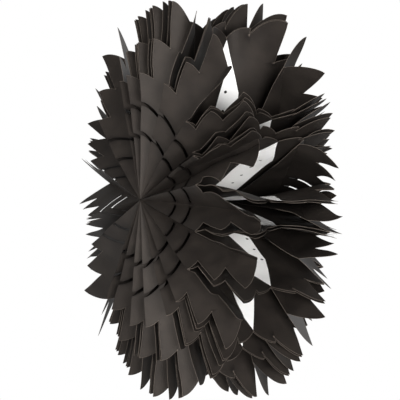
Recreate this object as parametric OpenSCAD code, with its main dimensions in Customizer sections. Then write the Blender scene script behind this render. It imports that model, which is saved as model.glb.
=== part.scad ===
// Paper snowflake: a ring of gusseted black paper bags, fanned out around one
// level axis. Each bag is cut flat with teeth and ring slits, glued side to side
// with its neighbours, and opened. A white strip with a row of small holes is
// folded inside each bag. Millimetres. The axis lies along Y, the front faces -Y
// and +Z is up.

/* [Bag] */
// Reach of the longest teeth from the axis
outer_radius = 225; // [200:1:260]
// Depth of the snowflake, which is the width of one flat bag
bag_width = 167; // [150:1:190]
// Width of one half of the folded-in side gusset
gusset_depth = 65; // [50:1:70]
// Thickness of the black paper
paper = 0.2; // [0.15:0.05:0.3]
// Distance from the axis to the glued bottoms of the bags
hub_radius = 4; // [4:0.5:8]
// Height of the glued bottom seam of each bag
seam_height = 1.2; // [0.8:0.1:3]

/* [Fan] */
// How far the hand-fanned spacing strays from even: 0 is even, 1 is as in the photo
unevenness = 1; // [0:0.1:1]
// Turn of the whole fan about its axis
fan_turn = 0; // [-20:1:20]

/* [Teeth] */
// Reach of the first tooth, at the outer fold
first_tooth_reach = 145; // [135:1:155]
// Reach of the second tooth
second_tooth_reach = 182; // [170:1:195]
// Reach of the small tooth beside the centre line of a panel
centre_tooth_reach = 203; // [199:1:210]
// Distance from the outer fold to the second tooth's straight edge
second_tooth_start = 15; // [12:0.5:18]
// Distance from the outer fold to the third tooth's straight edge
third_tooth_start = 34; // [30:0.5:40]
// Distance from the outer fold to the centre tooth's straight edge
centre_tooth_start = 61; // [56:0.5:66]
// Fall of the curved edge along the first tooth
first_tooth_fall = 7; // [3:0.5:10]
// Fall of the curved edge along the second tooth
second_tooth_fall = 10; // [5:0.5:14]
// Fall of the curved edge along the third tooth, out to the gusset's inner crease
third_tooth_fall = 37; // [25:1:45]
// Fall of the curved edge from the centre tooth to the panel's centre line
centre_tooth_fall = 14; // [8:1:16]

/* [Ring slits] */
// Distance from the axis to the first ring of slits
first_ring_radius = 75; // [65:1:82]
// Distance from the axis to the second ring of slits
second_ring_radius = 109; // [102:1:116]
// Length of a first-ring slit across the paper
first_slit_length = 17; // [12:0.5:18]
// Length of a second-ring slit across the paper
second_slit_length = 25; // [18:0.5:27]
// Fall of a first-ring slit towards the axis
first_slit_fall = 14; // [6:0.5:16]
// Fall of a second-ring slit towards the axis
second_slit_fall = 21; // [10:0.5:24]
// Width of a slit, measured along the radius
slit_width = 4.5; // [2:0.5:6]

/* [White strip] */
// Width of the white strip inside each bag
strip_width = 42; // [36:1:48]
// Width of the strip where it folds across the bottom of the bag
strip_fold_width = 30; // [20:1:32]
// Distance from the axis to the strip's bottom fold
strip_fold_radius = 10; // [8:0.5:14]
// Distance over which the strip widens from its bottom fold
strip_shoulder = 9; // [6:1:14]
// Reach of the strip's pointed ends from the axis
strip_reach = 187; // [180:1:188]
// Length over which each end of the strip narrows to its point
strip_point = 60; // [45:1:66]
// Thickness of the strip
strip_paper = 0.2; // [0.15:0.05:0.3]
// Diameter of the small holes
strip_hole = 3; // [2:0.2:4]
// Spacing of the small holes
strip_hole_pitch = 23; // [18:1:25]
// Holes in one row
strip_hole_count = 5; // [3:1:5]
// Distance from the strip's bottom fold to the first hole
strip_hole_start = 25; // [12:1:28]
// Distance of the row of holes from the strip's centre line, towards the back
strip_hole_offset = 15; // [8:1:16]

/* [Hidden] */
// Directions of the glued joints between the bags, read off the photo in degrees.
joint_angles = [-159, -129, -120.5, -102, -84, -62.5, -51, -31.5, -14.5, 7, 22.8,
                39.5, 65.5, 89.5, 103, 112.6, 141, 161.5, 187];
bags = len(joint_angles);
curve_steps = 4;
// How far the sheets of one folded piece run into each other where they join.
lap = paper / 3;
$fn = 24;
half = bag_width / 2;

// Direction of joint i, between even spacing and the photo's spacing.
function joint(i) =
    let (turn = floor(i / bags) * 360, k = i % bags)
    fan_turn + turn + unevenness * joint_angles[k]
    + (1 - unevenness) * (joint_angles[0] + k * 360 / bags);
function bag_turn(i) = (joint(i) + joint(i + 1)) / 2;
function bag_open(i) = (joint(i + 1) - joint(i)) / 2;

// Curved top edge of a tooth, as [distance from the fold, reach] points.
function tooth(from, to, reach, fall, full) =
    [for (k = [0 : curve_steps]) let (u = from + (to - from) * k / curve_steps)
        [u, reach - fall * pow((u - from) / (full - from), 1.8)]];

// Edges of a ring slit that opens at the outer fold, lower edge inward, then back.
function slit_edge(r, across, fall, lift) =
    [for (k = [0 : curve_steps]) let (s = k / curve_steps)
        [across * s, r + lift - fall * pow(s, 1.6)]];
function back(points) = [for (k = [len(points) - 1 : -1 : 0]) points[k]];
function slit(r, across, fall) = concat(
    slit_edge(r, across, fall, -slit_width / 2),
    back(slit_edge(r, across, fall, slit_width / 2)));

// Cut edge of the flat bag from the hub up the outer fold to the third tooth.
function cut_edge(third_end) = concat(
    slit(first_ring_radius, first_slit_length, first_slit_fall),
    slit(second_ring_radius, second_slit_length, second_slit_fall),
    tooth(0, second_tooth_start, first_tooth_reach, first_tooth_fall, second_tooth_start),
    tooth(second_tooth_start, third_tooth_start, second_tooth_reach, second_tooth_fall,
        third_tooth_start),
    tooth(third_tooth_start, third_end, outer_radius, third_tooth_fall, gusset_depth));

// One panel, as [radius, depth] points: both outer folds and the centre teeth.
function panel_half() = concat([[0, hub_radius]], cut_edge(centre_tooth_start),
    tooth(centre_tooth_start, half, centre_tooth_reach, centre_tooth_fall, half));
function front_side(points) = [for (p = points) [p[1], p[0] - half]];
function back_side(points) = [for (p = points) [p[1], half - p[0]]];

// The gusset's crease meets its cut edge at the tip of the tongue.
tongue_reach = outer_radius - third_tooth_fall;
tip_angle = atan(gusset_depth / tongue_reach);
tip_length = norm([gusset_depth, tongue_reach]);
// Tilt of a gusset's open face that brings its valley to the middle of the bag.
function gusset_tilt(open) = asin(tan(open) / tan(tip_angle));
function valley_angle(open) = acos(cos(tip_angle) / cos(open));

module sheet(points, thick) { linear_extrude(thick) polygon(points); }

module panel(open) {
    rotate([0, -open, 0]) translate([0, 0, -paper])
        sheet(concat(front_side(panel_half()), back(back_side(panel_half()))), paper);
}

// Open face of one gusset half, from the outer fold to the valley line.
module gusset_face(open) {
    near = hub_radius + lap;
    face = concat([[0, near]], cut_edge(gusset_depth), [[near * tan(tip_angle), near]]);
    rotate([0, -open, 0]) translate([0, -half, 0]) rotate([-gusset_tilt(open), 0, 0])
        translate([0, 0, -paper]) sheet([for (p = face) [p[1], max(p[0], lap)]], paper);
}

// Inner part of the gusset, where its two layers stay pressed together.
module gusset_flap(open) {
    a = valley_angle(open);
    near = hub_radius + lap;
    translate([0, 0, -paper]) sheet([
        [near, near * tan(a) - half - lap],
        [near, gusset_depth - half],
        [tip_length * cos(a) - lap, tip_length * sin(a) - half],
        [tip_length * cos(a) - lap, tip_length * sin(a) - half - 2 * lap]], 2 * paper);
}

// Glued bottom of the bag, where all its layers meet.
module seam(open) {
    far = hub_radius + seam_height;
    wn = hub_radius * tan(open) - lap;
    wf = far * tan(open) - lap;
    translate([0, half - lap, 0]) rotate([90, 0, 0]) linear_extrude(bag_width - 2 * lap)
        polygon([[hub_radius, -wn], [far, -wf], [far, wf], [hub_radius, wn]]);
}

module bag(i) {
    open = bag_open(i);
    color([0.16, 0.15, 0.14]) rotate([0, -bag_turn(i), 0]) {
        seam(open);
        for (side = [0, 1]) mirror([0, 0, side]) {
            panel(open);
            for (rear = [0, 1]) mirror([0, rear, 0]) gusset_face(open);
        }
        for (rear = [0, 1]) mirror([0, rear, 0]) gusset_flap(open);
    }
}

// One arm of the strip, flat on the inner face of a panel, with a pointed end.
module strip_arm(open) {
    w = strip_width / 2;
    n = strip_fold_width / 2;
    wide = strip_fold_radius + strip_shoulder;
    narrowing = strip_reach - strip_point;
    rotate([0, -open, 0]) translate([0, 0, -paper - strip_paper])
        linear_extrude(strip_paper) difference() {
            polygon([[strip_fold_radius, -n], [wide, -w], [narrowing, -w], [strip_reach, 0],
                [narrowing, w], [wide, w], [strip_fold_radius, n]]);
            for (k = [0 : strip_hole_count - 1])
                translate([strip_fold_radius + strip_hole_start + k * strip_hole_pitch,
                    strip_hole_offset]) circle(d = strip_hole);
        }
}

// Fold across the bottom of the bag, between the strip's two arms.
module strip_fold(open) {
    near = strip_fold_radius * cos(open) + (paper + strip_paper) * sin(open) + lap;
    far = near + 2 * strip_paper;
    wn = near * tan(open) - (paper + lap) / cos(open);
    wf = far * tan(open) - (paper + lap) / cos(open);
    translate([0, strip_fold_width / 2, 0]) rotate([90, 0, 0])
        linear_extrude(strip_fold_width)
            polygon([[near, -wn], [far, -wf], [far, wf], [near, wn]]);
}

module strip(i) {
    open = bag_open(i);
    color([0.94, 0.94, 0.93]) rotate([0, -bag_turn(i), 0]) {
        for (side = [0, 1]) mirror([0, 0, side]) strip_arm(open);
        strip_fold(open);
    }
}

for (i = [0 : bags - 1]) {
    bag(i);
    strip(i);
}
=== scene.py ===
import math

import bpy
import numpy as np
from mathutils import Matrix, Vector, geometry


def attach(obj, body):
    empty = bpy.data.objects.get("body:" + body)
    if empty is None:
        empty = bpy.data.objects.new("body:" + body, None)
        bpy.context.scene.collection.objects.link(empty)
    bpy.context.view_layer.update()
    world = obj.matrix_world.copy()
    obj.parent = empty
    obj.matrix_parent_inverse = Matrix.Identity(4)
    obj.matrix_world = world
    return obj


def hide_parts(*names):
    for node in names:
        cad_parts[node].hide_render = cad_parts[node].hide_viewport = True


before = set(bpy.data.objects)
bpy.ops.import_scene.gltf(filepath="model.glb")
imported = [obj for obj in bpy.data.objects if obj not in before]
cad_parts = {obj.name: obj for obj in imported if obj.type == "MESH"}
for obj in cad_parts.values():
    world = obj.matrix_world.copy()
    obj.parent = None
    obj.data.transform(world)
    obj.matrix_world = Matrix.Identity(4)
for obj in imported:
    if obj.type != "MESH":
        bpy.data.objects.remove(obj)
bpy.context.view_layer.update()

mm = 0.001


def srgb(code):
    parts = [int(code[k:k + 2], 16) / 255 for k in (1, 3, 5)]
    return tuple(c / 12.92 if c <= 0.04045 else ((c + 0.055) / 1.055) ** 2.4 for c in parts) + (1.0,)


def addNode(tree, kind, settings=None, links=None):
    node = tree.nodes.new(kind)
    for key, value in (settings or {}).items():
        if isinstance(key, str) and hasattr(node, key):
            setattr(node, key, value)
        else:
            node.inputs[key].default_value = value
    for key, source in (links or {}).items():
        tree.links.new(source, node.inputs[key])
    return node


def blackKraftPaper():
    # uncoated kraft paper, dyed through in the pulp: a dull warm black with short fibres,
    # with painted shade along a cut and a painted highlight, a paler line, at the very edge
    look = {"paper": "#24201d", "deep": "#1a1715", "rim": "#050404", "cut": "#5a524b",
            "fibre": 5.0, "mottle": 26.0,      # mm; real fibres of 1 mm would not show
            "mottleRange": (0.3, 0.7),         # noise that is darkest and lightest
            "bump": 0.3, "bumpDepth": 0.3,     # strength, and mm
            "paintedHighlight": (0.72, 0.95),              # part of the rim's run in which the painted highlight shows
            "roughness": 0.55, "specular": 0.24, "sheen": "#f6ebe2", "ior": 1.45}
    mat = bpy.data.materials.new("blackKraftPaper")
    mat.use_nodes = True
    tree = mat.node_tree
    tree.nodes.clear()
    place = addNode(tree, "ShaderNodeTexCoord")
    fibre = addNode(tree, "ShaderNodeTexNoise", {"Scale": 1 / (look["fibre"] * mm), "Detail": 5.0},
                    {"Vector": place.outputs["Object"]})
    mottle = addNode(tree, "ShaderNodeTexNoise", {"Scale": 1 / (look["mottle"] * mm), "Detail": 3.0},
                     {"Vector": place.outputs["Object"]})
    tone = addNode(tree, "ShaderNodeValToRGB", None, {"Fac": mottle.outputs["Fac"]})
    for stop, position, colour in zip(tone.color_ramp.elements, look["mottleRange"], ("deep", "paper")):
        stop.position = position
        stop.color = srgb(look[colour])
    rim = addNode(tree, "ShaderNodeAttribute", {"attribute_name": "rim"})
    rimShaded = addNode(tree, "ShaderNodeMix", {"data_type": "RGBA"},
                    {0: rim.outputs["Fac"], 6: tone.outputs["Color"]})
    # painted shade: the rim along every cut and slit is darkened towards near black
    rimShaded.inputs[7].default_value = srgb(look["rim"])
    highlightFrom, highlightTo = look["paintedHighlight"]
    atCut = addNode(tree, "ShaderNodeMapRange", {"From Min": highlightFrom, "From Max": highlightTo},
                    {"Value": rim.outputs["Fac"]})
    highlighted = addNode(tree, "ShaderNodeMix", {"data_type": "RGBA"},
                   {0: atCut.outputs[0], 6: rimShaded.outputs[2]})
    # painted highlight: a paler line at the very edge of a cut
    highlighted.inputs[7].default_value = srgb(look["cut"])
    bump = addNode(tree, "ShaderNodeBump",
                   {"Strength": look["bump"], "Distance": look["bumpDepth"] * mm},
                   {"Height": fibre.outputs["Fac"]})
    shader = addNode(tree, "ShaderNodeBsdfPrincipled",
                     {"Roughness": look["roughness"], "IOR": look["ior"],
                      "Specular IOR Level": look["specular"], "Specular Tint": srgb(look["sheen"])},
                     {"Base Color": highlighted.outputs[2], "Normal": bump.outputs["Normal"]})
    addNode(tree, "ShaderNodeOutputMaterial", None, {"Surface": shader.outputs["BSDF"]})
    return mat


def whiteWoodfreePaper():
    # uncoated copier stock: bright flat white with a faint grain
    look = {"paper": "#f4f3f1", "shade": "#ecebe9", "grain": 7.0,
            "bump": 0.15, "bumpDepth": 0.2, "roughness": 0.7, "ior": 1.47}
    mat = bpy.data.materials.new("whiteWoodfreePaper")
    mat.use_nodes = True
    tree = mat.node_tree
    tree.nodes.clear()
    place = addNode(tree, "ShaderNodeTexCoord")
    grain = addNode(tree, "ShaderNodeTexNoise", {"Scale": 1 / (look["grain"] * mm), "Detail": 4.0},
                    {"Vector": place.outputs["Object"]})
    tone = addNode(tree, "ShaderNodeValToRGB", None, {"Fac": grain.outputs["Fac"]})
    tone.color_ramp.elements[0].color = srgb(look["shade"])
    tone.color_ramp.elements[1].color = srgb(look["paper"])
    bump = addNode(tree, "ShaderNodeBump",
                   {"Strength": look["bump"], "Distance": look["bumpDepth"] * mm},
                   {"Height": grain.outputs["Fac"]})
    shader = addNode(tree, "ShaderNodeBsdfPrincipled",
                     {"Roughness": look["roughness"], "IOR": look["ior"]},
                     {"Base Color": tone.outputs["Color"], "Normal": bump.outputs["Normal"]})
    addNode(tree, "ShaderNodeOutputMaterial", None, {"Surface": shader.outputs["BSDF"]})
    return mat


blackPaper = blackKraftPaper()
whitePaper = whiteWoodfreePaper()
print("materials made")


# The flat sheets are cut here, in mm, as points (r, u).

bagCut = {                      # the flat bag in mm: u from its outer fold, r from the axis
    "hub": 1.6,                 # the bags reach closer to the axis than in the CAD, so no light shows
    "width": 167.0,
    "gusset": 65.0,
    "slits": [(75.0, 17.0, 14.0), (109.0, 25.0, 21.0)],           # ring radius, length, fall
    "slitWidth": 4.5,
    "slitCurve": 1.6,           # power of the fall along a slit
    "slitsEnd": 125.0,          # every cut closer to the axis than this is a slit
    "teeth": [(0.0, 15.0, 145.0, 7.0, 15.0), (15.0, 34.0, 182.0, 10.0, 34.0),
              (34.0, 65.0, 225.0, 37.0, 65.0)],                   # from, to, reach, fall, full at
    "centreTooth": (61.0, 83.5, 203.0, 14.0, 83.5),
    "toothCurve": 1.8,          # power of the fall along a tooth
    "cutStep": 2.3,             # spacing of points along a curved cut
    "edgeStep": 4.6,            # spacing along straight edges
    "gridStep": 8.5,            # spacing inside a sheet
    "rim": 1.3,                 # width of the cut rim that carries painted shade
    "slitRim": 2.0,             # how many times wider it is along a slit
    "slitDark": 0.7,            # how dark the painted shade gets there, short of the painted highlight that shows near 1
}


def toothEdge(start, end, reach, fall, full):
    steps = max(4, round((end - start) / bagCut["cutStep"]))
    us = [start + (end - start) * k / steps for k in range(steps + 1)]
    return [(reach - fall * ((u - start) / (full - start)) ** bagCut["toothCurve"], u) for u in us]


def slitEdge(ring, length, fall):
    steps = max(5, round(length / bagCut["cutStep"]))
    shares = [k / steps for k in range(steps + 1)]
    half, curve = bagCut["slitWidth"] / 2, bagCut["slitCurve"]
    low = [(ring - fall * s ** curve - half, length * s) for s in shares]
    high = [(ring - fall * s ** curve + half, length * s) for s in shares]
    return low + high[::-1]


def fillStraight(points, gap):
    out = []
    for a, b in zip(points, points[1:]):
        n = int(math.dist(a, b) / gap)
        out += [(a[0] + (b[0] - a[0]) * k / (n + 1), a[1] + (b[1] - a[1]) * k / (n + 1))
                for k in range(n + 1)]
    return out + [points[-1]]


def cutEdge(thirdEnd):
    points = [(bagCut["hub"], 0.0)]
    for ring in bagCut["slits"]:
        points += slitEdge(*ring)
    for start, end, reach, fall, full in bagCut["teeth"]:
        points += toothEdge(start, min(end, thirdEnd), reach, fall, full)
    return points


def gapTo(points, starts, ends):
    best = np.full(len(points), 1e9)
    for a, b in zip(starts, ends):
        ab = b - a
        t = np.clip(((points - a) @ ab) / (ab @ ab), 0, 1)
        best = np.minimum(best, np.linalg.norm(points - a - t[:, None] * ab, axis=1))
    return best


def insideOf(points, starts, ends):
    hit = np.zeros(len(points), bool)
    for a, b in zip(starts, ends):
        crosses = (a[1] > points[:, 1]) != (b[1] > points[:, 1])
        slope = (b[0] - a[0]) / (b[1] - a[1]) if b[1] != a[1] else 0.0
        hit ^= crosses & (points[:, 0] < slope * (points[:, 1] - a[1]) + a[0])
    return hit


def triangulate(loop, isFold):
    # fills an outline with small triangles and marks a narrow rim along what was cut, where shade and a
    # highlight are painted
    loop = [p for k, p in enumerate(loop) if math.dist(p, loop[k - 1]) > 1e-4]
    edge = np.array(loop)
    after = np.roll(edge, -1, axis=0)
    isCut = np.array([not isFold(a, b) for a, b in zip(edge, after)])
    along = after - edge
    side = np.stack([-along[:, 1], along[:, 0]], axis=1) / np.linalg.norm(along, axis=1)[:, None]
    side *= np.sign(np.sum(edge[:, 0] * after[:, 1] - after[:, 0] * edge[:, 1]))
    rimWidth, grid = bagCut["rim"], bagCut["gridStep"]
    rowStep = grid * 0.87       # rows of a grid of even triangles
    keepOff = grid * 0.45       # no point of the grid lies closer to the outline
    rimKept = rimWidth * 0.8    # a rim point that falls closer to another cut is left out
    inner = ((edge + after) / 2 + side * rimWidth)[isCut]
    lows, highs = edge.min(axis=0), edge.max(axis=0)
    rows = [(r, u) for j, u in enumerate(np.arange(lows[1] + grid / 2, highs[1], rowStep))
            for r in np.arange(lows[0] + grid / 2 + (j % 2) * grid / 2, highs[0], grid)]
    cutStarts, cutEnds = edge[isCut], after[isCut]
    inner = inner[gapTo(inner, cutStarts, cutEnds) > rimKept]
    extra = np.array(rows)
    extra = extra[gapTo(extra, edge, after) > keepOff]
    inner = inner[insideOf(inner, edge, after)]
    extra = extra[insideOf(extra, edge, after)]
    every = [Vector(p) for p in loop] + [Vector(p) for p in inner] + [Vector(p) for p in extra]
    verts, _, faces, _, _, _ = geometry.delaunay_2d_cdt(every, [], [list(range(len(loop)))], 1, 1e-5)
    verts = np.array([tuple(v) for v in verts])
    isSlit = np.maximum(cutStarts[:, 0], cutEnds[:, 0]) < bagCut["slitsEnd"]
    # painted shade along every cut that is no slit, with a painted highlight at its very edge
    rim = np.clip(1 - gapTo(verts, cutStarts[~isSlit], cutEnds[~isSlit]) / rimWidth, 0, 1)
    if isSlit.any():      # a slit gets only painted shade, without the painted highlight at its edge
        slitRim = rimWidth * bagCut["slitRim"]
        nearSlit = np.clip(1 - gapTo(verts, cutStarts[isSlit], cutEnds[isSlit]) / slitRim, 0, 1)
        rim = np.maximum(rim, nearSlit * bagCut["slitDark"])
    return verts, [tuple(f) for f in faces], rim


tipReach = bagCut["teeth"][2][2] - bagCut["teeth"][2][3]       # where the gusset's crease meets its cut
tipAngle = math.atan2(bagCut["gusset"], tipReach)
tipLength = math.hypot(bagCut["gusset"], tipReach)


def panelSheet():
    width, hub = bagCut["width"], bagCut["hub"]
    start = bagCut["centreTooth"][0]
    front = cutEdge(start) + toothEdge(*bagCut["centreTooth"])
    rear = [(r, width - u) for r, u in front[::-1]]
    loop = fillStraight(front + rear + [front[0]], bagCut["edgeStep"])[:-1]

    def isFold(a, b):
        return (a[1] == b[1] and a[1] in (0.0, width)) or max(a[0], b[0]) < hub + 1e-6

    verts, faces, rim = triangulate(loop, isFold)
    return verts - np.array([0, width / 2]), faces, rim


def faceSheet():
    hub = bagCut["hub"]
    loop = cutEdge(bagCut["gusset"]) + [(hub, hub * math.tan(tipAngle))]
    loop = fillStraight(loop + [loop[0]], bagCut["edgeStep"])[:-1]

    def isFold(a, b):
        onValley = [abs(p[1] - p[0] * math.tan(tipAngle)) < 1e-3 for p in (a, b)]
        return a[1] == b[1] == 0 or all(onValley) or max(a[0], b[0]) < hub + 1e-6

    return triangulate(loop, isFold)


def flapSheet():
    # the part of the gusset that stays pressed, still flat beside its face
    hub, depth = bagCut["hub"], bagCut["gusset"]
    near = (hub, hub * math.tan(tipAngle))
    loop = fillStraight([near, (tipReach, depth), (hub, depth), near], bagCut["edgeStep"])[:-1]
    return triangulate(loop, lambda a, b: not (a[1] == b[1] == depth))


def joinSheets(name, sheets):
    verts, faces, rim, kind, base = [], [], [], [], 0
    for index, (points, tris, edge) in enumerate(sheets):
        verts.append(np.column_stack([points * mm, np.zeros(len(points))]))
        faces += [tuple(base + k for k in f) for f in tris]
        rim.append(edge)
        kind += [index] * len(points)
        base += len(points)
    mesh = bpy.data.meshes.new(name)
    mesh.from_pydata(np.concatenate(verts).tolist(), [], faces)
    mesh.attributes.new("rim", "FLOAT", "POINT").data.foreach_set("value", np.concatenate(rim))
    mesh.attributes.new("sheet", "INT", "POINT").data.foreach_set("value", kind)
    return mesh


flatBag = joinSheets("flatBag", [panelSheet(), faceSheet(), flapSheet()])
print("flat bag cut:", len(flatBag.polygons), "triangles")


# Geometry Nodes fold the sheets. Every tree works in the bag's own frame, x along the bag and y
# across it, until settlePaper turns it into its place in the fan.

bagForm = {                     # the opened bags in the fan, in mm where no other unit stands
    "joints": [-159, -129, -120.5, -102, -84, -62.5, -51, -31.5, -14.5, 7, 22.8,
               39.5, 65.5, 89.5, 103, 112.6, 141, 161.5, 187],    # glued joints, degrees round the axis
    # how hand-opened sheets stray from their joint, degrees at the hub, the middle and the tip
    "turns": {0: (-0.6, 0, 0), 3: (-0.6, 0, 0), 4: (-1.2, 0, 1.1), 5: (-3, 0, 1.8), 6: (-1.5, 0, 0.3),
              7: (-1.5, 0, 1.5), 8: (0, 0.3, 3.2), 9: (0.8, 0, -8), 10: (-2.5, -2.8, -3),
              11: (1.5, -3, -8), 12: (0, -2, -8), 14: (3, 0, -1), 16: (4, 0, -2.4)},
    # the same for the upper sheet of a joint, where it differs from the lower one
    "upperTurns": {8: (0, 0.5, 3.6), 10: (-2.5, -1.6, 0.5), 11: (1.5, -3, -7), 16: (4, 0, -1.8)},
    # how far a joint bows half way through the depth, degrees near the hub and at the tip
    "bow": {8: (3.5, 3.5), 9: (-7, 0.5), 11: (-6, -5), 12: (11, 19)},
    "bowPower": 3.0,            # the higher, the more a bow keeps to the middle of the depth
    # how far the gusset's inner crease strays from the middle of its bag, by bag, like the turns
    "crease": {8: (0, 0, -3), 9: (0, 7, 9.5)},
    "creaseShare": (0.1, 0.9),  # share of the opening that moves with it, clear of both panels
    "middle": 145.0,            # radius at which the middle value of the turns holds
    "splay": 0.35,              # how far each sheet of a joint leans into its bag at the tip, degrees
    "paper": 0.24,              # drawn thickness of the black paper
    "sheetGap": 0.14,           # from a joint's plane to the middle of each of its two sheets
    "layerGap": 0.15,           # from a gusset's plane to the middle of each pressed layer
    "weld": 0.05,               # points of one bag that lie closer than this are joined
    "wave": 8.0,                # strength of the paper's slow waves
    "waveLength": 70.0,
    "calm": (10.0, 120.0),      # the waves grow between these radii
    "seed": 7.0,
}


def newTree(name, sockets):
    tree = bpy.data.node_groups.new(name, "GeometryNodeTree")
    tree.interface.new_socket("Geometry", in_out="OUTPUT", socket_type="NodeSocketGeometry")
    tree.interface.new_socket("Geometry", in_out="INPUT", socket_type="NodeSocketGeometry")
    for label, kind in sockets.items():
        tree.interface.new_socket(label, in_out="INPUT", socket_type="NodeSocket" + kind)
    return tree, addNode(tree, "NodeGroupInput").outputs


def mathOf(tree, operation, first, second):
    # each term is a number or the socket of another node
    terms = {0: first, 1: second}
    fixed = {key: term for key, term in terms.items() if isinstance(term, float)}
    linked = {key: term for key, term in terms.items() if key not in fixed}
    return addNode(tree, "ShaderNodeMath", {"operation": operation, **fixed}, linked).outputs[0]


def minusOf(tree, source):
    return mathOf(tree, "MULTIPLY", source, -1.0)


def joinedOf(tree, parts):
    join = addNode(tree, "GeometryNodeJoinGeometry")
    for part in parts:
        tree.links.new(part, join.inputs[0])
    return join.outputs[0]


def mirroredOf(tree, part, scale):
    turned = addNode(tree, "GeometryNodeTransform", {"Scale": scale}, {"Geometry": part}).outputs[0]
    return addNode(tree, "GeometryNodeFlipFaces", None, {0: turned}).outputs[0]


def finishPiece(tree, given, geometry):
    # every piece ends alike: settled into the fan, made real and given its paper
    settle = addNode(tree, "GeometryNodeGroup", {"node_tree": settlePaper}, {0: geometry})
    for label in settleSockets:
        tree.links.new(given[label], settle.inputs[label])
    real = addNode(tree, "GeometryNodeRealizeInstances", None, {0: settle.outputs[0]}).outputs[0]
    done = addNode(tree, "GeometryNodeSetMaterial", None,
                   {"Geometry": real, "Material": given["Paper"]}).outputs[0]
    addNode(tree, "NodeGroupOutput", None, {0: done})
    return tree


settleSockets = {"Opening": "Float", "Turn": "Float", "Low turns": "Vector", "High turns": "Vector",
                 "Crease turns": "Vector", "Low bow": "Vector", "High bow": "Vector",
                 "Half depth": "Float", "Middle radius": "Float", "Tip radius": "Float", "Wave": "Float",
                 "Wave length": "Float", "Seed": "Float"}


def settleTree():
    # bends each sheet away from its joint's plane by radius, turns the bag, and adds slow waves
    # that depend on the place alone, so glued sheets stay together
    tree, given = newTree("settlePaper", settleSockets)
    place = addNode(tree, "GeometryNodeInputPosition").outputs[0]
    xyz = addNode(tree, "ShaderNodeSeparateXYZ", None, {0: place}).outputs
    angle = mathOf(tree, "ARCTAN2", xyz[2], xyz[0])
    flat = addNode(tree, "ShaderNodeCombineXYZ", None, {0: xyz[0], 2: xyz[2]}).outputs[0]
    radius = addNode(tree, "ShaderNodeVectorMath", {"operation": "LENGTH"}, {0: flat}).outputs["Value"]
    share = addNode(tree, "ShaderNodeMapRange", None,
                    {"Value": angle, "From Min": minusOf(tree, given["Opening"]),
                     "From Max": given["Opening"]}).outputs[0]
    sheetTurns = addNode(tree, "ShaderNodeMix", {"data_type": "VECTOR"},
                         {0: share, 4: given["Low turns"], 5: given["High turns"]}).outputs[1]
    clearFrom, clearTo = bagForm["creaseShare"]       # so that a sheet and its strip stay together
    clear = addNode(tree, "ShaderNodeMapRange", {"From Min": clearFrom, "From Max": clearTo},
                    {"Value": share}).outputs[0]
    inside = mathOf(tree, "MULTIPLY", clear, mathOf(tree, "SUBTRACT", 1.0, clear))
    bulge = mathOf(tree, "MULTIPLY", inside, 4.0)     # 1 in the middle of the bag, 0 at its panels
    creaseTurns = addNode(tree, "ShaderNodeVectorMath", {"operation": "SCALE"},
                          {0: given["Crease turns"], "Scale": bulge}).outputs[0]
    turns = addNode(tree, "ShaderNodeVectorMath", {"operation": "ADD"},
                    {0: sheetTurns, 1: creaseTurns}).outputs[0]
    turn = addNode(tree, "ShaderNodeSeparateXYZ", None, {0: turns}).outputs
    toMiddle = addNode(tree, "ShaderNodeMapRange", None,
                       {"Value": radius, "From Max": given["Middle radius"]}).outputs[0]
    toTip = addNode(tree, "ShaderNodeMapRange", {"interpolation_type": "SMOOTHSTEP"},
                    {"Value": radius, "From Min": given["Middle radius"],
                     "From Max": given["Tip radius"]}).outputs[0]
    inner = addNode(tree, "ShaderNodeMix", None, {0: toMiddle, 2: turn[0], 3: turn[1]}).outputs[0]
    outer = addNode(tree, "ShaderNodeMix", None, {0: toTip, 2: inner, 3: turn[2]}).outputs[0]
    depth = mathOf(tree, "DIVIDE", xyz[1], given["Half depth"])
    square = mathOf(tree, "MULTIPLY", depth, depth)
    middle = addNode(tree, "ShaderNodeMath", {"operation": "SUBTRACT", 0: 1.0, "use_clamp": True},
                     {1: square}).outputs[0]
    bowPair = addNode(tree, "ShaderNodeMix", {"data_type": "VECTOR"},
                      {0: share, 4: given["Low bow"], 5: given["High bow"]}).outputs[1]
    bowEnds = addNode(tree, "ShaderNodeSeparateXYZ", None, {0: bowPair}).outputs
    bows = addNode(tree, "ShaderNodeMix", None, {0: toTip, 2: bowEnds[0], 3: bowEnds[1]}).outputs[0]
    sharp = mathOf(tree, "POWER", middle, bagForm["bowPower"])
    bent = mathOf(tree, "ADD", outer, mathOf(tree, "MULTIPLY", bows, sharp))
    whole = mathOf(tree, "ADD", bent, given["Turn"])
    turned = addNode(tree, "ShaderNodeVectorRotate", {"rotation_type": "Y_AXIS"},
                     {"Vector": place, "Angle": minusOf(tree, whole)}).outputs[0]
    scale = mathOf(tree, "DIVIDE", 1.0, given["Wave length"])
    noise = addNode(tree, "ShaderNodeTexNoise", {"noise_dimensions": "4D", "Detail": 1.0},
                    {"Vector": turned, "W": given["Seed"], "Scale": scale}).outputs["Color"]
    drift = addNode(tree, "ShaderNodeVectorMath", {"operation": "SUBTRACT", 1: (0.5, 0.5, 0.5)},
                    {0: noise}).outputs[0]
    calmTo, wavesFrom = bagForm["calm"]
    fade = addNode(tree, "ShaderNodeMapRange", {"From Min": calmTo * mm, "From Max": wavesFrom * mm},
                   {"Value": radius}).outputs[0]
    wave = addNode(tree, "ShaderNodeVectorMath", {"operation": "SCALE"},
                   {0: drift, "Scale": mathOf(tree, "MULTIPLY", fade, given["Wave"])}).outputs[0]
    moved = addNode(tree, "ShaderNodeVectorMath", {"operation": "ADD"}, {0: turned, 1: wave}).outputs[0]
    settled = addNode(tree, "GeometryNodeSetPosition", None, {"Geometry": given["Geometry"],
                                                              "Position": moved}).outputs[0]
    addNode(tree, "NodeGroupOutput", None, {0: settled})
    return tree


settlePaper = settleTree()


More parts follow.
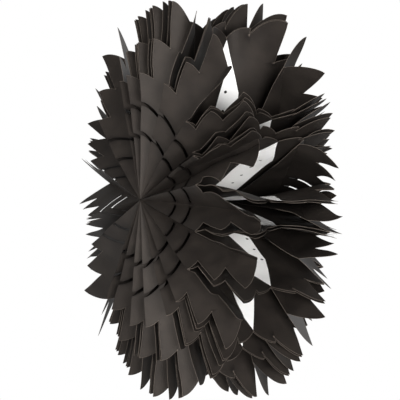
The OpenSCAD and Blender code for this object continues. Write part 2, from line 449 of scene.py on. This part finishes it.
def foldTree():
    # one quarter of the bag is folded and then mirrored to the back and to the lower side
    tree, given = newTree("foldBag", {"Gusset tilt": "Float", "Half width": "Float",
                                      "Sheet gap": "Float", "Layer gap": "Float",
                                      "Flap along": "Vector", "Flap across": "Vector",
                                      "Weld": "Float", "Paper": "Material", **settleSockets})
    kind = addNode(tree, "GeometryNodeInputNamedAttribute", {"data_type": "INT", "Name": "sheet"})
    minus = {label: minusOf(tree, given[label])
             for label in ("Opening", "Gusset tilt", "Half width", "Sheet gap")}
    sheets = []
    for index in range(3):      # the panel, the gusset's open face and its pressed flap
        same = addNode(tree, "FunctionNodeCompare", {"data_type": "INT", "operation": "EQUAL", 3: index},
                       {2: kind.outputs[0]}).outputs[0]
        sheets.append(addNode(tree, "GeometryNodeSeparateGeometry", None,
                              {"Geometry": given["Geometry"], "Selection": same}).outputs[0])
    down = addNode(tree, "ShaderNodeCombineXYZ", None, {2: minus["Sheet gap"]}).outputs[0]
    lean = addNode(tree, "ShaderNodeCombineXYZ", None, {1: minus["Opening"]}).outputs[0]
    tilt = addNode(tree, "ShaderNodeCombineXYZ", None, {0: minus["Gusset tilt"]}).outputs[0]
    toFold = addNode(tree, "ShaderNodeCombineXYZ", None,
                     {1: minus["Half width"], 2: minus["Sheet gap"]}).outputs[0]
    lowered = addNode(tree, "GeometryNodeTransform", None,
                      {"Geometry": sheets[0], "Translation": down}).outputs[0]
    panel = addNode(tree, "GeometryNodeTransform", None,
                    {"Geometry": lowered, "Rotation": lean}).outputs[0]
    tilted = addNode(tree, "GeometryNodeTransform", None,
                     {"Geometry": sheets[1], "Rotation": tilt, "Translation": toFold}).outputs[0]
    face = addNode(tree, "GeometryNodeTransform", None,
                   {"Geometry": tilted, "Rotation": lean}).outputs[0]
    place = addNode(tree, "GeometryNodeInputPosition").outputs[0]
    flapX = addNode(tree, "ShaderNodeVectorMath", {"operation": "DOT_PRODUCT"},
                    {0: place, 1: given["Flap along"]}).outputs["Value"]
    flapU = addNode(tree, "ShaderNodeVectorMath", {"operation": "DOT_PRODUCT"},
                    {0: place, 1: given["Flap across"]}).outputs["Value"]
    flapY = mathOf(tree, "SUBTRACT", flapU, given["Half width"])
    pressed = addNode(tree, "ShaderNodeCombineXYZ", None,
                      {0: flapX, 1: flapY, 2: given["Layer gap"]}).outputs[0]
    flap = addNode(tree, "GeometryNodeSetPosition", None,
                   {"Geometry": sheets[2], "Position": pressed}).outputs[0]
    turnedFlap = addNode(tree, "GeometryNodeFlipFaces", None, {0: flap}).outputs[0]
    turnedFace = addNode(tree, "GeometryNodeFlipFaces", None, {0: face}).outputs[0]
    gusset = joinedOf(tree, (turnedFlap, turnedFace))
    rear = mirroredOf(tree, gusset, (1.0, -1.0, 1.0))
    upper = joinedOf(tree, (rear, gusset, panel))
    welded = addNode(tree, "GeometryNodeMergeByDistance", None,
                     {"Geometry": upper, "Distance": given["Weld"]}).outputs[0]
    lower = mirroredOf(tree, welded, (1.0, 1.0, -1.0))
    return finishPiece(tree, given, joinedOf(tree, (lower, welded)))


stripForm = {                   # the white strip, in mm
    "start": 0.6,               # radius at which its arms begin, hidden close to the axis
    "fold": 10.0,               # radius up to which it is as narrow as its fold
    "foldWidth": 30.0,
    "shoulder": 9.0,
    "width": 42.0,
    "reach": 187.0,
    "point": 60.0,              # length of each pointed end
    "paper": 0.2,
    "gap": 0.44,                # from the joint's plane to the middle of the strip's sheet
    "holes": 5,
    "holeSize": 3.6,
    "holeStart": 25.0,          # from the fold to the first hole
    "holePitch": 23.0,
    "lowOffset": 17.0,          # of the row on the lower arm, towards the back
    "highOffset": 6.0,          # and of the row on the upper arm
    "holeSides": 14,            # corners of each round hole
    "edgeStep": 4.0,            # spacing of points along its outline
    "cuts": 2,                  # how often its triangles are cut in four, so that it can bend
    "weld": 0.02,               # points that lie closer than this are joined
}


def stripTree():
    # outline and a row of circles are filled as one curve, then folded over by a mirrored copy
    tree, given = newTree("punchedStrip", {"Holes": "Int", "Hole size": "Float", "Hole start": "Float",
                                           "Hole pitch": "Float", "Low offset": "Float",
                                           "High offset": "Float", "Gap": "Float", "Cuts": "Int",
                                           "Weld": "Float", "Paper": "Material", **settleSockets})
    outline = addNode(tree, "GeometryNodeMeshToCurve", None, {"Mesh": given["Geometry"]}).outputs[0]
    step = addNode(tree, "ShaderNodeCombineXYZ", None, {0: given["Hole pitch"]}).outputs[0]
    circle = addNode(tree, "GeometryNodeCurvePrimitiveCircle", {"Resolution": stripForm["holeSides"]},
                     {"Radius": mathOf(tree, "MULTIPLY", given["Hole size"], 0.5)}).outputs[0]
    down = addNode(tree, "ShaderNodeCombineXYZ", None, {2: minusOf(tree, given["Gap"])}).outputs[0]
    lean = addNode(tree, "ShaderNodeCombineXYZ", None, {1: minusOf(tree, given["Opening"])}).outputs[0]

    def punchedArm(offset):
        start = addNode(tree, "ShaderNodeCombineXYZ", None,
                        {0: given["Hole start"], 1: offset}).outputs[0]
        row = addNode(tree, "GeometryNodeMeshLine", None,
                      {"Count": given["Holes"], "Start Location": start, "Offset": step}).outputs[0]
        punched = addNode(tree, "GeometryNodeInstanceOnPoints", None,
                          {"Points": row, "Instance": circle}).outputs[0]
        holes = addNode(tree, "GeometryNodeRealizeInstances", None, {0: punched}).outputs[0]
        filled = addNode(tree, "GeometryNodeFillCurve", None,
                         {"Curve": joinedOf(tree, (holes, outline))}).outputs[0]
        fine = addNode(tree, "GeometryNodeSubdivideMesh", None,
                       {"Mesh": filled, "Level": given["Cuts"]}).outputs[0]
        lowered = addNode(tree, "GeometryNodeTransform", None,
                          {"Geometry": fine, "Translation": down}).outputs[0]
        return addNode(tree, "GeometryNodeTransform", None,
                       {"Geometry": lowered, "Rotation": lean}).outputs[0]

    highArm = punchedArm(given["High offset"])
    lowArm = mirroredOf(tree, punchedArm(given["Low offset"]), (1.0, 1.0, -1.0))
    arms = joinedOf(tree, (lowArm, highArm))
    welded = addNode(tree, "GeometryNodeMergeByDistance", None,
                     {"Geometry": arms, "Distance": given["Weld"]}).outputs[0]
    return finishPiece(tree, given, welded)


foldBag = foldTree()
punchedStrip = stripTree()


foldAngle = 24.0                # a fold steeper than this stays sharp, degrees


def growPiece(name, mesh, tree, values, thickness):
    # runs a tree on a flat mesh, gives the sheet its thickness and keeps the plain result
    draft = bpy.data.objects.new(name + "Draft", mesh)
    bpy.context.scene.collection.objects.link(draft)
    grow = draft.modifiers.new("grow", "NODES")
    grow.node_group = tree
    sockets = {item.name: item.identifier for item in tree.interface.items_tree
               if item.item_type == "SOCKET" and item.in_out == "INPUT"}
    for label, value in values.items():
        grow[sockets[label]] = value
    solid = draft.modifiers.new("thickness", "SOLIDIFY")
    solid.thickness = thickness * mm
    solid.offset = 0
    solid.use_even_offset = False
    bpy.context.view_layer.update()
    ready = draft.evaluated_get(bpy.context.evaluated_depsgraph_get())
    plain = bpy.data.meshes.new_from_object(ready)
    plain.name = name
    plain.shade_smooth()
    plain.set_sharp_from_angle(angle=math.radians(foldAngle))
    bpy.data.objects.remove(draft)
    piece = bpy.data.objects.new(name, plain)
    bpy.context.scene.collection.objects.link(piece)
    return piece


def radiansOf(angles):
    return [math.radians(a) for a in angles]


def bagPlace(index):
    # what the settle tree needs to know about bag number index, counted from 0
    joints = bagForm["joints"]
    low = joints[index]
    high = joints[index + 1] if index + 1 < len(joints) else joints[0] + 360
    straight, still = (0, 0, 0), (0, 0)
    nextJoint = (index + 1) % len(joints)
    turns, bow, splay = bagForm["turns"], bagForm["bow"], bagForm["splay"]
    lowTurns = list(bagForm["upperTurns"].get(index, turns.get(index, straight)))
    highTurns = list(turns.get(nextJoint, straight))
    lowTurns[2] += splay
    highTurns[2] -= splay
    return {"Opening": math.radians(high - low) / 2, "Turn": math.radians(high + low) / 2,
            "Low turns": radiansOf(lowTurns), "High turns": radiansOf(highTurns),
            "Crease turns": radiansOf(bagForm["crease"].get(index, straight)),
            "Low bow": radiansOf((*bow.get(index, still), 0)),
            "High bow": radiansOf((*bow.get(nextJoint, still), 0)),
            "Half depth": bagCut["width"] / 2 * mm,
            "Middle radius": bagForm["middle"] * mm, "Tip radius": bagCut["teeth"][2][2] * mm,
            "Wave": bagForm["wave"] * mm, "Wave length": bagForm["waveLength"] * mm,
            "Seed": bagForm["seed"]}


def stripOutline():
    half, fold, reach = stripForm["width"] / 2, stripForm["fold"], stripForm["reach"]
    wide, narrowing = fold + stripForm["shoulder"], reach - stripForm["point"]
    near = stripForm["foldWidth"] / 2
    side = [(stripForm["start"], -near), (fold, -near), (wide, -half), (narrowing, -half),
            (reach, 0.0)]
    whole = side + [(r, -u) for r, u in side[-2::-1]] + [side[0]]
    loop = fillStraight(whole, stripForm["edgeStep"])[:-1]
    mesh = bpy.data.meshes.new("stripOutline")
    mesh.from_pydata([(r * mm, u * mm, 0) for r, u in loop],
                     [(k, (k + 1) % len(loop)) for k in range(len(loop))], [])
    return mesh


outlineMesh = stripOutline()
bagCount = len(bagForm["joints"])
for index in range(bagCount):
    place = bagPlace(index)
    opening = place["Opening"]
    valley = math.acos(math.cos(tipAngle) / math.cos(opening))
    # the flat flap is carried to its pressed place: its tip and its corner at the hub say how
    corners = np.array([[tipReach, bagCut["gusset"]], [bagCut["hub"], bagCut["gusset"]]])
    goal = np.array([[tipLength * math.cos(valley), tipLength * math.sin(valley)], corners[1]])
    carry = np.linalg.solve(corners, goal).T
    bag = growPiece("blackBag_%02d" % (index + 1), flatBag, foldBag, {
        "Gusset tilt": math.asin(math.tan(opening) / math.tan(tipAngle)),
        "Half width": bagCut["width"] / 2 * mm, "Sheet gap": bagForm["sheetGap"] * mm,
        "Layer gap": bagForm["layerGap"] * mm, "Flap along": [*carry[0], 0.0],
        "Flap across": [*carry[1], 0.0], "Weld": bagForm["weld"] * mm,
        "Paper": blackPaper, **place}, bagForm["paper"])
    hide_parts("bag_%02d" % (index + 1))
    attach(bag, "root")
    strip = growPiece("whiteStrip_%02d" % (index + 1), outlineMesh, punchedStrip, {
        "Holes": stripForm["holes"], "Hole size": stripForm["holeSize"] * mm,
        "Hole start": (stripForm["fold"] + stripForm["holeStart"]) * mm,
        "Hole pitch": stripForm["holePitch"] * mm, "Low offset": stripForm["lowOffset"] * mm,
        "High offset": stripForm["highOffset"] * mm, "Gap": stripForm["gap"] * mm,
        "Cuts": stripForm["cuts"], "Weld": stripForm["weld"] * mm,
        "Paper": whitePaper, **place}, stripForm["paper"])
    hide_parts("strip_%02d" % (index + 1))
    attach(strip, "root")
print("bags folded and strips put in:", bagCount,
      "- triangles in one of each:", len(bag.data.loop_triangles), len(strip.data.loop_triangles))


def makeFloor():
    look = {"size": 6.0, "height": -0.62, "colour": "#efefef"}
    mat = bpy.data.materials.new("paleFloor")
    mat.use_nodes = True
    mat.node_tree.nodes.clear()
    dull = addNode(mat.node_tree, "ShaderNodeBsdfDiffuse", {"Color": srgb(look["colour"])})
    addNode(mat.node_tree, "ShaderNodeOutputMaterial", None, {"Surface": dull.outputs["BSDF"]})
    mesh = bpy.data.meshes.new("floor")
    s, z = look["size"], look["height"]
    mesh.from_pydata([(-s, -s, z), (s, -s, z), (s, s, z), (-s, s, z)], [], [(0, 1, 2, 3)])
    mesh.materials.append(mat)
    floor = bpy.data.objects.new("floor", mesh)
    bpy.context.scene.collection.objects.link(floor)


def makeWorld():
    look = {"ambient": 0.25}
    world = bpy.data.worlds.new("studio")
    bpy.context.scene.world = world
    world.use_nodes = True
    tree = world.node_tree
    tree.nodes.clear()
    rays = addNode(tree, "ShaderNodeLightPath")
    soft = addNode(tree, "ShaderNodeBackground", {"Color": srgb("#ffffff"), "Strength": look["ambient"]})
    white = addNode(tree, "ShaderNodeBackground", {"Color": srgb("#ffffff"), "Strength": 1.0})
    mixed = addNode(tree, "ShaderNodeMixShader", None,
                    {0: rays.outputs["Is Camera Ray"], 1: soft.outputs[0], 2: white.outputs[0]})
    addNode(tree, "ShaderNodeOutputWorld", None, {"Surface": mixed.outputs[0]})


lamps = {                       # round soft lamps that face the snowflake, in m and W
    "key": {"place": (1.5, -2.5, 0.5), "size": 0.8, "power": 85},
    "fill": {"place": (2.8, -0.7, -0.1), "size": 0.8, "power": 100},
    "rear": {"place": (-1.0, 3.0, 1.0), "size": 1.4, "power": 30},
}


def addLamp(name, place, size, power):
    lamp = bpy.data.lights.new(name, "AREA")
    lamp.shape = "DISK"
    lamp.size = size
    lamp.energy = power
    obj = bpy.data.objects.new(name, lamp)
    obj.location = place
    obj.rotation_euler = (-Vector(place)).to_track_quat("-Z", "Y").to_euler()
    bpy.context.scene.collection.objects.link(obj)


def makeCamera():
    # from the front right, level with the axis, through a long lens
    view = {"azimuth": 64.0, "distance": 4.5,         # degrees and m
            "frame": 0.4544, "aside": -0.0077,        # width of the picture and its shift, m
            "film": 36.0, "far": 50.0}                # width in mm, and m
    a = math.radians(view["azimuth"])
    aim = Vector((math.cos(a), math.sin(a), 0)) * view["aside"]
    place = aim + Vector((math.sin(a), -math.cos(a), 0)) * view["distance"]
    camera = bpy.data.cameras.new("camera")
    camera.sensor_width = view["film"]
    camera.lens = view["film"] * view["distance"] / view["frame"]
    camera.clip_end = view["far"]
    obj = bpy.data.objects.new("camera", camera)
    obj.location = place
    obj.rotation_euler = (aim - place).to_track_quat("-Z", "Y").to_euler()
    bpy.context.scene.collection.objects.link(obj)
    bpy.context.scene.camera = obj


makeFloor()
makeWorld()
for name, lamp in lamps.items():
    addLamp(name, **lamp)
makeCamera()
bpy.context.scene.view_settings.view_transform = "Standard"
print("set, light and camera ready")
